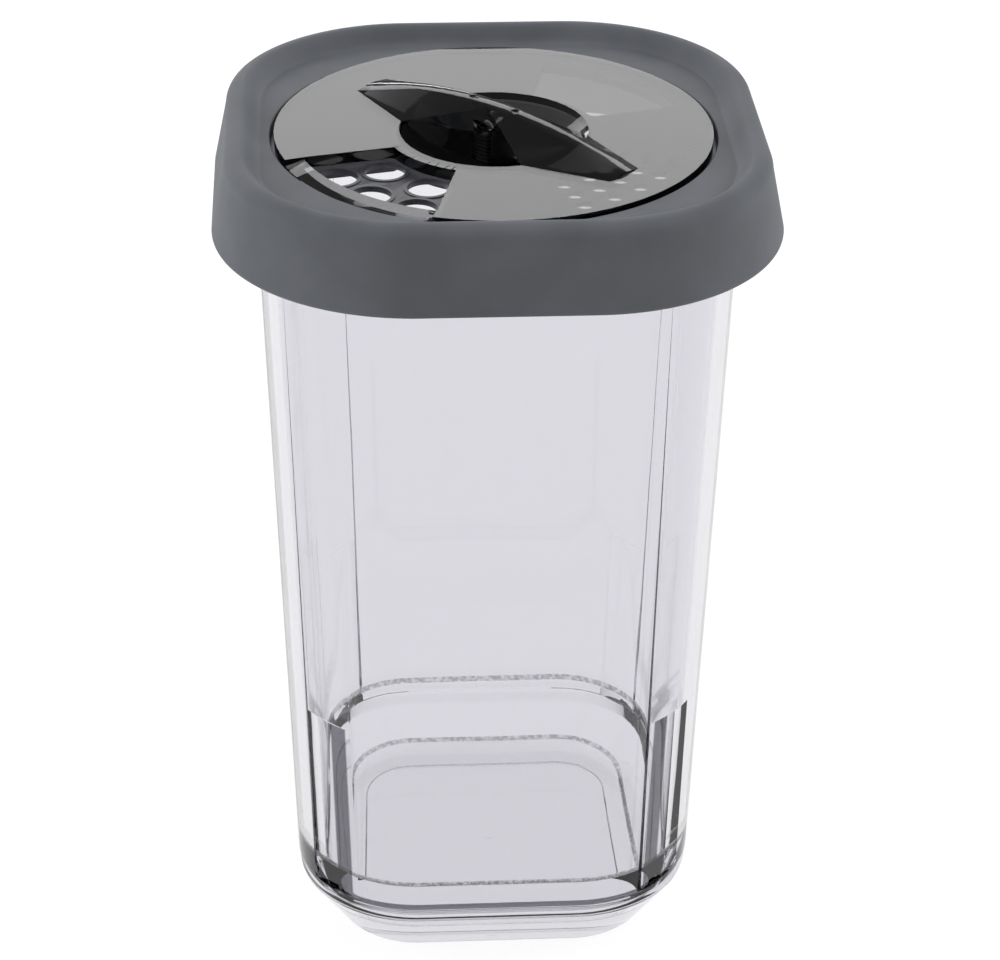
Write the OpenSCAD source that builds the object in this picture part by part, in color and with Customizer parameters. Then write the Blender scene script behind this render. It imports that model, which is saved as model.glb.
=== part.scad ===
// Square spice shaker: a clear jar, a push-on lid with a soft cover, and a turning dial.
// The dial's one window stops over a coarse sieve, a fine sieve, a pour opening or a closed stretch.
// Every outline is an offset of one square, so jar, lid and seal keep even gaps all the way round.
// Millimetres, +Z up, origin in the middle of the foot, front towards -Y.

/* [Jar] */
// Outer width across the flats at the mouth
jar_mouth_w = 57.4; // [54:0.2:70]
// Outer width across the flats at the foot of the walls
jar_base_w = 51.4; // [46:0.2:54]
// Straight stretch in the middle of each side
side_flat = 20; // [8:0.2:26]
// Height of the mouth above the table
jar_h = 103.6; // [60:0.2:160]
// Thickness of the jar's walls
jar_wall = 1.9; // [1.2:0.1:3]
// Thickness of the jar's floor
floor_t = 5.2; // [1.6:0.1:6]
// Height of the base chamfer's upper edge
chamfer_top = 7.8; // [4:0.2:12]
// Height of the band between the chamfer and the foot of the walls
base_band = 2.2; // [0.6:0.1:3]
// How far that band stands back from the walls
base_band_in = 0.2; // [0.1:0.05:0.5]
// Width of the foot that the jar stands on
foot_w = 40; // [36:0.2:44]
// Height and run-out of the foot's lower edge
foot_edge = 0.6; // [0.4:0.1:1.4]
// Width of the inner floor
floor_w = 39; // [34:0.2:42]
// Height of the sloping walls above the inner floor
slope_h = 7.4; // [3:0.1:12]
// Width of the ring that touches the table
foot_ring = 3; // [2:0.1:6]
// Depth of the hollow inside the foot ring
foot_hollow = 0.4; // [0.2:0.1:4]
// Radius of the mouth's rounded rim
lip_round = 0.5; // [0.2:0.05:0.55]
// Height of the shelf at the top of the corner facets
facet_top = 36.5; // [20:0.1:50]
// Depth of that shelf in the middle of the corner
facet_cut = 0.4; // [0.2:0.05:0.8]
// How much deeper the facets are at the foot of the walls
facet_deepen = 0.1; // [0:0.05:0.3]

/* [Lid core] */
// Thickness of the plate that holds the sieves
plate_t = 1.4; // [1:0.1:2.5]
// Thickness of the hard skirt outside the jar
core_skirt_t = 1.5; // [1:0.1:2.5]
// Thickness of the plug's wall inside the mouth
plug_t = 1; // [0.8:0.1:2]
// Length of the plug below the plate
plug_h = 5; // [3:0.1:8]
// Thickness of the plate where the sieves are
sieve_t = 0.6; // [0.4:0.1:1]
// Land between the dish and the thin sieves
sieve_land = 0.5; // [0.3:0.1:1]
// Thickness of the dish under the dial's finger bowl
dish_wall = 1.3; // [0.8:0.1:2]
// Height of the hub below the dish
hub_h = 1.6; // [1:0.1:3]
// Thickness of the hub round the pivot pin
hub_wall = 2.2; // [1.2:0.1:3]

/* [Lid cover] */
// How far the skirt hangs below the jar's mouth
skirt_drop = 5.4; // [3:0.1:8]
// Thickness of the soft cover outside the core at the rim
cover_t = 1.6; // [0.8:0.1:3]
// How far the skirt flares out below the rim
skirt_flare = 1.6; // [0.5:0.1:3]
// Radius of the skirt's lower edge
skirt_round = 0.9; // [0.3:0.1:1.2]
// Height of the lip that wraps under the core's skirt
cover_wrap = 0.6; // [0.3:0.1:1.2]
// Width of the raised rim
rim_w = 4.4; // [3.5:0.1:5.5]
// Height of the rim above the panel
rim_rise = 2.1; // [1:0.1:3.5]
// Radius of the rim's outer shoulder
rim_round = 2; // [0.6:0.1:2.4]
// Thickness of the soft panel on the core's plate
panel_t = 1.4; // [0.8:0.1:2.5]
// Least width of the panel beside the dial
panel_land = 1; // [0.5:0.1:2]

/* [Mouth seal] */
// Thickness of the seal inside and under the plug
seal_wall = 0.8; // [0.5:0.1:1.2]
// Distance from the plate down to the seal
seal_drop = 0.3; // [0.2:0.1:1.5]

/* [Dial] */
// Thickness of the disc
dial_t = 1.4; // [1:0.1:2]
// Diameter of the finger bowl
bowl_d = 22.8; // [18:0.2:23]
// Depth of the finger bowl
bowl_depth = 3.7; // [2.6:0.1:5]
// Thickness of the bowl's wall
bowl_wall = 1.3; // [0.8:0.1:1.6]
// Length of the grip blade
blade_l = 40.6; // [30:0.2:46]
// Height of the blade above the disc in the middle
blade_rise = 3.3; // [2.4:0.1:7]
// Height of the blade above the disc at its tips
tip_rise = 0.3; // [0.2:0.1:1]
// Thickness of the blade in the middle of the bowl
blade_t = 4; // [3:0.1:5]
// Width of the blade's top ridge
ridge_w = 2.4; // [1.6:0.1:3]
// Width of the blade's tips
tip_w = 5.2; // [3.2:0.1:6]
// Width of the blade's foot where it meets the bowl's edge
blade_foot_w = 12; // [8:0.2:15]
// Diameter of the two dimples on the ridge
dimple_d = 1.3; // [0.6:0.1:1.4]
// Depth of the dimples
dimple_depth = 0.3; // [0.1:0.05:0.5]
// Distance between the two dimples
dimple_pitch = 6.8; // [4:0.2:12]

/* [Window] */
// Land between the finger bowl and the window
window_land = 1.8; // [1.4:0.1:4]
// Width of the dial's band outside the window
window_band = 2.3; // [1:0.1:3]
// Width of the window at its inner edge
window_w = 10; // [7:0.1:12]
// Angle between each side of the window and its middle line
window_splay = 31.5; // [18:0.5:34]
// How far the band outside the window lies below the disc
band_drop = 0.3; // [0.2:0.05:0.6]
// How much further the band falls towards the dial's edge
band_fall = 0.5; // [0:0.05:0.5]

/* [Sieves] */
// Diameter of the coarse holes
coarse_d = 4.9; // [3:0.1:5]
// Width of the raised ring round a coarse hole
coarse_ring = 0.45; // [0.2:0.05:0.5]
// Height of that ring
coarse_ring_h = 0.12; // [0.05:0.01:0.15]
// Land between the dish and the rings of the inner coarse holes
coarse_land = 1.1; // [0.2:0.1:1.5]
// Distance from the window's outer edge to the outer coarse holes
coarse_edge = 0.2; // [0.1:0.1:1.5]
// Angle between the outer coarse holes
coarse_outer_step = 17.2; // [16:0.1:20]
// Angle between the inner coarse holes
coarse_inner_step = 25.5; // [23:0.1:30]
// Diameter of the fine holes
fine_d = 2; // [0.8:0.1:2.2]
// Angle that the inner row of fine holes spans
fine_inner_span = 36; // [28:1:38]
// Angle that the outer row of fine holes spans
fine_outer_span = 42; // [34:1:46]
// Distance from the window's outer edge to the outer row of fine holes
fine_edge = 1.3; // [1.1:0.1:3]

/* [Pivot] */
// Diameter of the pivot pin
pin_d = 3.2; // [2.4:0.1:4]
// Thickness of the post round the pin
post_wall = 1; // [0.6:0.1:1.6]
// How far the pin reaches above the disc
pin_reach = 0.4; // [0:0.1:1]
// How far the pin's head stands out past its shank
head_lip = 2; // [1:0.1:3]
// Thickness of the pin's head
head_t = 1.2; // [0.8:0.1:2]

/* [Clearances] */
// Running gap between the dial and the core
run_gap = 0.35; // [0.25:0.05:0.6]
// Gap between the dial's edge and the panel
dial_gap = 0.5; // [0.3:0.05:1]
// Radial clearance of the pin in the hub
pin_fit = 0.08; // [0.04:0.01:0.1]
// Gap between the hub and the pin's head
head_gap = 0.2; // [0.1:0.05:0.4]
// Gap between the jar's rim and the plate
seat_gap = 0.2; // [0.1:0.05:0.5]
// Gap between the jar's outside and the core's skirt
skirt_gap = 0.5; // [0.3:0.05:1]
// Gap between the plug and the jar's wall, which the seal bridges
plug_gap = 1.2; // [0.8:0.1:2]
// Gap between the seal's lips and the jar's wall
seal_gap = 0.2; // [0.1:0.05:0.4]

/* [Hidden] */
$fn = 96;

// Directions of the four stops, seen from above
coarse_dir = 225;
fine_dir = 315;
pour_dir = 45;
blade_dir = 135;

// Holes in the rows of the fine sieve, from the inside out
fine_counts = [3, 4, 5, 5];

// A little more than any cut needs, so that it clears both faces
over = 1;

// Jar
flat_half = side_flat / 2;
mouth_half = jar_mouth_w / 2;
base_half = jar_base_w / 2;
foot_half = foot_w / 2;
floor_z = foot_hollow + floor_t;
slope_top = floor_z + slope_h;
floor_half = floor_w / 2;
wall_z = chamfer_top + base_band;
band_half = base_half - base_band_in;
function jar_half(z) = base_half + (mouth_half - base_half) * (z - wall_z) / (jar_h - wall_z);
function corner_reach(z) = flat_half * sqrt(2) + jar_half(z) - flat_half;

// Heights in the lid
plate_z = jar_h + seat_gap;
plate_top = plate_z + plate_t;
panel_top = plate_top + panel_t;
crest_z = panel_top + rim_rise;
skirt_z = jar_h - skirt_drop;
disc_z = plate_top + run_gap;
disc_top = disc_z + dial_t;

// Half widths in the lid
core_in = mouth_half + skirt_gap;
core_out = core_in + core_skirt_t;
rim_out = core_out + cover_t;
rim_in = rim_out - rim_w;
skirt_out = rim_out + skirt_flare;
plug_out = mouth_half - jar_wall - plug_gap;
plug_in = plug_out - plug_t;
plug_z = plate_z - plug_h;
seal_top = plate_z - seal_drop;
seal_z = plug_z - seal_wall;
seal_in = plug_in - seal_wall;
seal_out = jar_half(seal_z) - jar_wall - seal_gap;

// Dial and window
dial_r = rim_in - panel_land - dial_gap;
bowl_r = bowl_d / 2;
bowl_ball = (bowl_r * bowl_r + bowl_depth * bowl_depth) / (2 * bowl_depth);
ball_z = disc_top - bowl_depth + bowl_ball;
window_in = bowl_r + window_land;
window_out = dial_r - window_band;
window_start = sqrt(window_in * window_in - window_w * window_w / 4);
blade_half = blade_l / 2;
blade_foot_s = sqrt(bowl_r * bowl_r - blade_foot_w * blade_foot_w / 4);
post_d = pin_d + 2 * post_wall;

// Core under the dial
dish_ball = bowl_ball + bowl_wall + run_gap;
dish_base = ball_z - dish_ball - dish_wall;
hub_z = dish_base - hub_h;
hub_r = pin_d / 2 + pin_fit + hub_wall;
coarse_outer_r = window_out - coarse_edge - coarse_d / 2;
dish_r = sqrt(dish_ball * dish_ball - (ball_z - plate_top) * (ball_z - plate_top));
coarse_inner_r = dish_r + coarse_land + coarse_ring + coarse_d / 2;
sieve_in = dish_r + sieve_land;
fine_inner_r = dish_r + fine_d;
fine_outer_r = window_out - fine_edge;
pin_top = disc_top + pin_reach;

// Points of an arc from angle a to angle b, in a profile's plane
function arc(c, r, a, b, n = 8) = [for (i = [0:n]) let (t = a + (b - a) * i / n) c + r * [cos(t), sin(t)]];

// Sweeps a profile of [half width, height] points round the rounded square
module swept(profile) {
    points = [for (p = profile) [p[0] - flat_half, p[1]]];
    for (i = [0:3]) rotate([0, 0, 90 * i]) {
        translate([flat_half, flat_half, 0]) rotate_extrude(angle = 90) polygon(points);
        translate([flat_half, flat_half, 0]) rotate([90, 0, 0]) linear_extrude(side_flat) polygon(points);
    }
}

// The square block that closes a swept floor or plate in the middle
module middle(z, h) {
    translate([-flat_half, -flat_half, z]) cube([side_flat, side_flat, h]);
}

// A wedge with the window's two sides, which run straight out from the window's outer corners
module window_wedge(h) {
    half = window_w / 2;
    along = window_start * cos(window_splay) + half * sin(window_splay);
    run = sqrt(along * along + window_out * window_out - window_in * window_in) - along;
    corner = [window_start + run * cos(window_splay), half + run * sin(window_splay)];
    far = corner * 2;
    linear_extrude(h) polygon([
        [0, -half], [window_start, -half], [corner[0], -corner[1]], [far[0], -far[1]],
        far, corner, [window_start, half], [0, half]
    ]);
}

// A prism of the window's shape about direction dir, from the radius r_in outwards
module window_prism(dir, r_in, h) {
    rotate([0, 0, dir]) intersection() {
        difference() {
            cylinder(r = window_out, h = h);
            translate([0, 0, -over]) cylinder(r = r_in, h = h + 2 * over);
        }
        window_wedge(h);
    }
}

// Children on a row of n places on a circle, step degrees apart, centred on direction dir
module row(dir, r, n, step) {
    for (i = [0:n - 1]) rotate([0, 0, dir + (i - (n - 1) / 2) * step]) translate([r, 0, 0]) children();
}

// Children at each coarse hole
module coarse_places() {
    row(coarse_dir, coarse_outer_r, 3, coarse_outer_step) children();
    row(coarse_dir, coarse_inner_r, 2, coarse_inner_step) children();
}

// Children at each fine hole
module fine_places() {
    last = len(fine_counts) - 1;
    for (i = [0:last])
        let (r = fine_inner_r + (fine_outer_r - fine_inner_r) * i / last,
            span = fine_inner_span + (fine_outer_span - fine_inner_span) * i / last)
        row(fine_dir, r, fine_counts[i], span / (fine_counts[i] - 1)) children();
}

// Flat cuts across the jar's corners, from the foot of the walls up to a level shelf
module facet_cuts() {
    far = corner_reach(facet_top) + over;
    top_d = corner_reach(facet_top) - facet_cut;
    foot_d = corner_reach(wall_z) - facet_cut - facet_deepen;
    for (i = [0:3]) rotate([0, 0, 45 + 90 * i]) rotate([90, 0, 0])
        linear_extrude(jar_base_w / 2, center = true)
            polygon([[foot_d, wall_z], [far, wall_z], [far, facet_top], [top_d, facet_top]]);
}

// Clear jar with a chamfered base, a foot ring and four corner facets
module jar() color("#dedde2", 0.4) difference() {
    inner_top = mouth_half - jar_wall;
    union() {
        swept(concat(
            [[flat_half, foot_hollow], [foot_half - foot_ring, foot_hollow], [foot_half - foot_ring, 0]],
            [[foot_half, 0], [foot_half + foot_edge, foot_edge], [band_half, chamfer_top]],
            [[band_half, wall_z], [base_half, wall_z]],
            arc([mouth_half - lip_round, jar_h - lip_round], lip_round, 0, 90),
            arc([inner_top + lip_round, jar_h - lip_round], lip_round, 90, 180),
            [[jar_half(slope_top) - jar_wall, slope_top]],
            [[floor_half, floor_z], [flat_half, floor_z]]
        ));
        middle(foot_hollow, floor_t);
    }
    facet_cuts();
}

// Soft grey cover: raised rim, flat panel with the dial's round opening, flared skirt
module lid_cover() color("#6b6c71") difference() {
    slope = rim_w - rim_round;
    swept(concat(
        [[flat_half, plate_top], [core_out, plate_top], [core_out, skirt_z + cover_wrap]],
        [[core_in, skirt_z + cover_wrap], [core_in, skirt_z]],
        arc([skirt_out - skirt_round, skirt_z + skirt_round], skirt_round, -90, 0),
        arc([rim_out - rim_round, crest_z - rim_round], rim_round, 0, 90),
        [for (i = [1:10]) [rim_in + slope * (1 - i / 10), panel_top + rim_rise * (1 + cos(18 * i)) / 2]],
        [[flat_half, panel_top]]
    ));
    translate([0, 0, plate_top - over]) cylinder(r = dial_r + dial_gap, h = crest_z - plate_top + 2 * over);
}

// Hard grey core: sieve plate, skirt, plug, and the dish and hub under the dial
module lid_core() color("#5d5e63") difference() {
    union() {
        swept([
            [flat_half, plate_z], [plug_in, plate_z], [plug_in, plug_z], [plug_out, plug_z],
            [plug_out, plate_z], [core_in, plate_z], [core_in, skirt_z + cover_wrap],
            [core_out, skirt_z + cover_wrap], [core_out, plate_top], [flat_half, plate_top]
        ]);
        middle(plate_z, plate_t);
        intersection() {
            translate([0, 0, ball_z]) sphere(r = dish_ball + dish_wall);
            translate([0, 0, dish_base - over]) cylinder(r = window_in, h = plate_top - dish_base + over);
        }
        translate([0, 0, hub_z]) cylinder(r = hub_r, h = hub_h + dish_wall);
        coarse_places() translate([0, 0, plate_z])
            cylinder(d = coarse_d + 2 * coarse_ring, h = plate_t + coarse_ring_h);
    }
    translate([0, 0, ball_z]) sphere(r = dish_ball);
    translate([0, 0, hub_z - over]) cylinder(d = pin_d + 2 * pin_fit, h = disc_top - hub_z);
    translate([0, 0, plate_z - over]) {
        window_prism(pour_dir, window_in, plate_t + 2 * over);
        for (dir = [coarse_dir, fine_dir]) window_prism(dir, sieve_in, plate_t - sieve_t + over);
        coarse_places() cylinder(d = coarse_d, h = plate_t + 2 * over);
        fine_places() cylinder(d = fine_d, h = plate_t + 2 * over);
    }
}

// Pale silicone ring pushed up over the plug, with two lips towards the jar
module mouth_seal() color("#c9c9cc") {
    lip = (seal_top - seal_z) / 4;
    neck = (plug_out + seal_out) / 2;
    swept([
        [seal_in, seal_z], [plug_out, seal_z], [seal_out, seal_z + lip], [neck, seal_z + 2 * lip],
        [seal_out, seal_z + 3 * lip], [plug_out, seal_top], [plug_out, plug_z], [plug_in, plug_z],
        [plug_in, seal_top], [seal_in, seal_top]
    ]);
}

// Plan of one half of the blade: thin in the middle, widest at the bowl's edge, narrow at the tip
module blade_plan() {
    polygon([
        [0, -blade_t / 2], [blade_foot_s, -blade_foot_w / 2], [blade_half, -tip_w / 2],
        [blade_half, tip_w / 2], [blade_foot_s, blade_foot_w / 2], [0, blade_t / 2]
    ]);
}

// Arched blade that widens from its ridge down to its plan, and reaches down into the bowl's wall
module blade() {
    low = disc_top - bowl_depth - bowl_wall;
    mid = disc_z + dial_t / 2;
    steps = 12;
    intersection() {
        for (turn = [0, 180]) rotate([0, 0, blade_dir + turn]) hull() {
            translate([0, 0, disc_top]) rotate([90, 0, 0]) linear_extrude(ridge_w, center = true)
                polygon(concat([[0, 0], [blade_half, 0]], [for (i = [0:steps]) let (t = 1 - i / steps)
                    [t * blade_half, tip_rise + (blade_rise - tip_rise) * (1 - t * t)]]));
            translate([0, 0, low]) linear_extrude(disc_top - low) blade_plan();
        }
        union() {
            translate([0, 0, mid]) cylinder(r = dial_r, h = dial_t + blade_rise);
            translate([0, 0, ball_z]) sphere(r = bowl_ball + bowl_wall / 2);
        }
    }
}

// Sloping cut that lowers the dial's band outside the window
module band_cut() {
    inner_z = disc_top - band_drop;
    outer_z = inner_z - band_fall * (window_band + over) / window_band;
    rotate([0, 0, coarse_dir]) intersection() {
        rotate_extrude() polygon([
            [window_in, inner_z], [window_out, inner_z], [dial_r + over, outer_z],
            [dial_r + over, disc_top + over], [window_in, disc_top + over]
        ]);
        translate([0, 0, disc_z]) window_wedge(dial_t + 2 * over);
    }
}

// Smoky clear dial: disc with one window, finger bowl, grip blade and the pin's socket
module dial() color("#55555c", 0.8) difference() {
    bowl_floor = disc_top - bowl_depth;
    dimple_ball = (dimple_d * dimple_d / 4 + dimple_depth * dimple_depth) / (2 * dimple_depth);
    union() {
        difference() {
            union() {
                translate([0, 0, disc_z]) cylinder(r = dial_r, h = dial_t);
                intersection() {
                    translate([0, 0, ball_z]) sphere(r = bowl_ball + bowl_wall);
                    translate([0, 0, bowl_floor - bowl_wall - over])
                        cylinder(r = window_in, h = bowl_depth + bowl_wall + over);
                }
            }
            translate([0, 0, ball_z]) sphere(r = bowl_ball);
        }
        blade();
        translate([0, 0, bowl_floor - bowl_wall / 2])
            cylinder(d = post_d, h = pin_top + post_wall - bowl_floor + bowl_wall / 2);
    }
    translate([0, 0, disc_z - over]) window_prism(coarse_dir, window_in, dial_t + 2 * over);
    band_cut();
    translate([0, 0, bowl_floor - bowl_wall - over])
        cylinder(d = pin_d, h = pin_top - bowl_floor + bowl_wall + over);
    rotate([0, 0, blade_dir]) for (side = [-1, 1])
        translate([side * dimple_pitch / 2, 0, disc_top + blade_rise - dimple_depth + dimple_ball])
            sphere(r = dimple_ball);
}

// Pin pressed up into the dial, whose head holds the dial down under the core's hub
module pivot_pin() color("#46474c") {
    shank_z = hub_z - head_gap;
    tip = post_wall / 2;
    rotate_extrude() polygon([
        [0, shank_z - head_t], [pin_d / 2 + head_lip - head_t / 2, shank_z - head_t],
        [pin_d / 2 + head_lip, shank_z - head_t / 2], [pin_d / 2 + head_lip, shank_z],
        [pin_d / 2, shank_z], [pin_d / 2, pin_top - tip], [pin_d / 2 - tip, pin_top], [0, pin_top]
    ]);
}

jar();
lid_cover();
lid_core();
mouth_seal();
dial();
pivot_pin();
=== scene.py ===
"""Looks of a square spice shaker: a clear jar, a soft grey lid and a smoky turning dial.

Every piece is in metres, in the frame of the packed model: +Z up, front towards -Y.
"""
from math import atan2, cos, pi, radians, sin, sqrt

import bmesh
import bpy
from bpy.props import FloatProperty, FloatVectorProperty, IntProperty, PointerProperty
from bpy.types import Operator, Panel, PropertyGroup
from mathutils import Matrix, Quaternion, Vector


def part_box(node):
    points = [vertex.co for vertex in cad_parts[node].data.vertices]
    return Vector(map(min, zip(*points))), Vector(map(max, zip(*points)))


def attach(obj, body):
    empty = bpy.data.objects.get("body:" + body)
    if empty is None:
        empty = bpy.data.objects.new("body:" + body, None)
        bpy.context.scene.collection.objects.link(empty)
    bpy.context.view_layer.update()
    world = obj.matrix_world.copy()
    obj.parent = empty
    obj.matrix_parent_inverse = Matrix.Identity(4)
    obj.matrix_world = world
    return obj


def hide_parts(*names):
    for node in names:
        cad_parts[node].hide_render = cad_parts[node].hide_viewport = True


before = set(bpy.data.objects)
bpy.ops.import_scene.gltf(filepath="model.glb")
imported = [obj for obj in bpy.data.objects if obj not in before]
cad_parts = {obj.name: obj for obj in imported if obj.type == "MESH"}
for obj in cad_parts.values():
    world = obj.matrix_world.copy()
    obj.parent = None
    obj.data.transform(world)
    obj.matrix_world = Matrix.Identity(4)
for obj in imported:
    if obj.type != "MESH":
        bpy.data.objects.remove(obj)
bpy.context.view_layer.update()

bl_info = {
    "name": "Spice shaker",
    "version": (1, 0, 0),
    "blender": (4, 5, 0),
    "location": "3D View > Sidebar > Shaker",
    "description": "Models a square spice shaker with a dial lid, and a plain studio round it",
    "category": "Add Mesh",
}

MM = 0.001
MERGE = 1e-6
WHITE = (1.0, 1.0, 1.0, 1.0)

# Directions of the dial's stops, seen from above
COARSE_DIR = radians(225)
FINE_DIR = radians(315)
POUR_DIR = radians(45)
BLADE_DIR = radians(135)

# Faces round a full turn, more of them on large or clear shapes
HOLE_STEPS = 32
HUB_STEPS = 48
POST_STEPS = 64
DISH_STEPS = 96
DISC_STEPS = 192

# Steps along half of the blade's arch, across half of its ridge and down the rim's inner slope
ARCH_STEPS = 20
CROWN_STEPS = 4
FALL_STEPS = 16

# Least turn of an edge that is rounded: on most pieces, the jar's shallow facets, the core and the dial
EDGE_TURN = radians(20)
FACET_TURN = radians(7)
CORE_TURN = radians(30)
DIAL_TURN = radians(24)

# Places and outer sizes that the packed model gives
JAR_LOW, JAR_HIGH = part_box("jar")
COVER_LOW, COVER_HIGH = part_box("lid_cover")
CORE_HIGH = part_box("lid_core")[1]
SEAL_LOW, SEAL_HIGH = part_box("mouth_seal")
DIAL_LOW, DIAL_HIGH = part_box("dial")
PIN_LOW, PIN_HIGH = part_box("pivot_pin")

# Glow of the paper floor and of the world: on the object, and as each kind of ray sees it
FLOOR_GLOW = (0.36, (("Is Camera Ray", 0.92), ("Is Glossy Ray", 0.86), ("Is Transmission Ray", 0.86)))
WORLD_GLOW = (0.34, (("Is Camera Ray", 1.0), ("Is Glossy Ray", 0.2), ("Is Transmission Ray", 1.0)))
FLOOR_HALF = 4.0
FLOOR_DROP = 0.05 * MM

# Lamps: name, place, size across and up, radiance against a white wall, and whether gloss shows it
LAMPS = (
    ("back_softbox", (0.0, 0.9, 0.52), 1.4, 0.3, 1.75, True),
    ("back_card", (-0.3, 0.9, 0.2), 0.8, 0.08, 3.0, True),
    ("top_softbox", (0.0, 0.2, 1.2), 1.0, 1.0, 0.8, False),
    ("left_softbox", (-1.0, -0.1, 0.5), 0.8, 0.8, 3.2, False),
    ("right_softbox", (1.0, 0.1, 0.5), 0.8, 0.8, 3.6, False),
)


def linear(code):
    """Turns an sRGB hex colour into linear RGBA."""
    parts = [int(code[i:i + 2], 16) / 255 for i in (1, 3, 5)]
    return (*[c / 12.92 if c <= 0.04045 else ((c + 0.055) / 1.055) ** 2.4 for c in parts], 1.0)


def length(name, description, mm):
    """A length property, given in millimetres and kept in metres."""
    return FloatProperty(name=name, description=description, default=mm * MM, min=0.0, precision=5,
                         unit="LENGTH")


def angle(name, description, degrees):
    """An angle property, given in degrees and kept in radians."""
    return FloatProperty(name=name, description=description, default=radians(degrees), subtype="ANGLE")


def colour(name, description, code):
    """A colour property, given as an sRGB hex value and kept linear."""
    return FloatVectorProperty(name=name, description=description, default=linear(code), size=4, min=0.0,
                               max=1.0, subtype="COLOR")


class JarSizes(PropertyGroup):
    """Sizes of the clear jar."""
    side_flat: length("Side flat", "Straight stretch in the middle of each side, also of the lid", 20.0)
    base_w: length("Base width", "Width across the flats at the foot of the walls", 51.4)
    wall: length("Wall", "Thickness of the jar's walls", 1.9)
    floor_t: length("Floor", "Thickness of the jar's floor", 5.2)
    floor_w: length("Floor width", "Width of the inner floor", 39.0)
    slope_h: length("Slope", "Height of the sloping walls above the inner floor", 7.4)
    chamfer_top: length("Chamfer top", "Height of the base chamfer's upper edge", 7.8)
    base_band: length("Base band", "Height of the band between the chamfer and the foot of the walls", 2.2)
    base_band_in: length("Band inset", "How far that band stands back from the walls", 0.2)
    foot_w: length("Foot width", "Width of the foot that the jar stands on", 40.0)
    foot_edge: length("Foot edge", "Height and run-out of the foot's lower edge", 0.6)
    foot_ring: length("Foot ring", "Width of the ring that touches the table", 3.0)
    foot_hollow: length("Foot hollow", "Depth of the hollow inside the foot ring", 0.4)
    hollow_round: length("Hollow rounding", "Radius of that hollow's edges", 0.18)
    lip_round: length("Lip rounding", "Radius of the mouth's rounded rim", 0.5)
    edge_round: length("Edge rounding", "Radius of the moulded edges at the base", 0.4)
    facet_top: length("Facet top", "Height of the shelf at the top of the corner facets", 36.5)
    facet_cut: length("Facet cut", "Depth of that shelf in the middle of the corner", 0.4)
    facet_deepen: length("Facet deepening", "How much deeper the facets are at the foot of the walls", 0.1)
    facet_round: length("Facet rounding", "Radius of the facets' edges", 0.1)
    # Where shade is painted on the outside of the front: two dark bands, called folds, on the front corners'
    # facets, and a dark line along the foot of the walls
    shade_band_start: length("Fold start", "Start of a dark fold, forward of the front corner's diagonal", 0.2)
    shade_band_end: length("Fold end", "End of that fold, forward of the same diagonal", 4.3)
    shade_band_soft: length("Fold softness", "Width of the fold's soft edges", 0.4)
    shade_line_under: length("Line below", "Reach of the front's dark line below the foot of the walls", 0.4)
    shade_line_over: length("Line above", "Reach of that line above the foot of the walls", 0.6)
    gate_d: length("Gate mark", "Diameter of the moulding's gate mark under the floor", 1.6)
    gate_stand: length("Gate stand", "How far the gate mark stands out of the floor", 0.04)
    corner_steps: IntProperty(name="Corner steps", description="Faces round each corner", default=36, min=8)

    @property
    def wall_z(self):
        return self.chamfer_top + self.base_band

    @property
    def floor_z(self):
        return self.foot_hollow + self.floor_t

    @property
    def slope_top(self):
        return self.floor_z + self.slope_h

    def half(self, height):
        """Half width of the outside wall at a height."""
        rise = (height - self.wall_z) / (JAR_HIGH.z - self.wall_z)
        return self.base_w / 2 + (JAR_HIGH.x - self.base_w / 2) * rise

    def corner_reach(self, height):
        """Distance from the middle to the outside of a corner at a height."""
        return self.side_flat / 2 * sqrt(2) + self.half(height) - self.side_flat / 2


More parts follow.
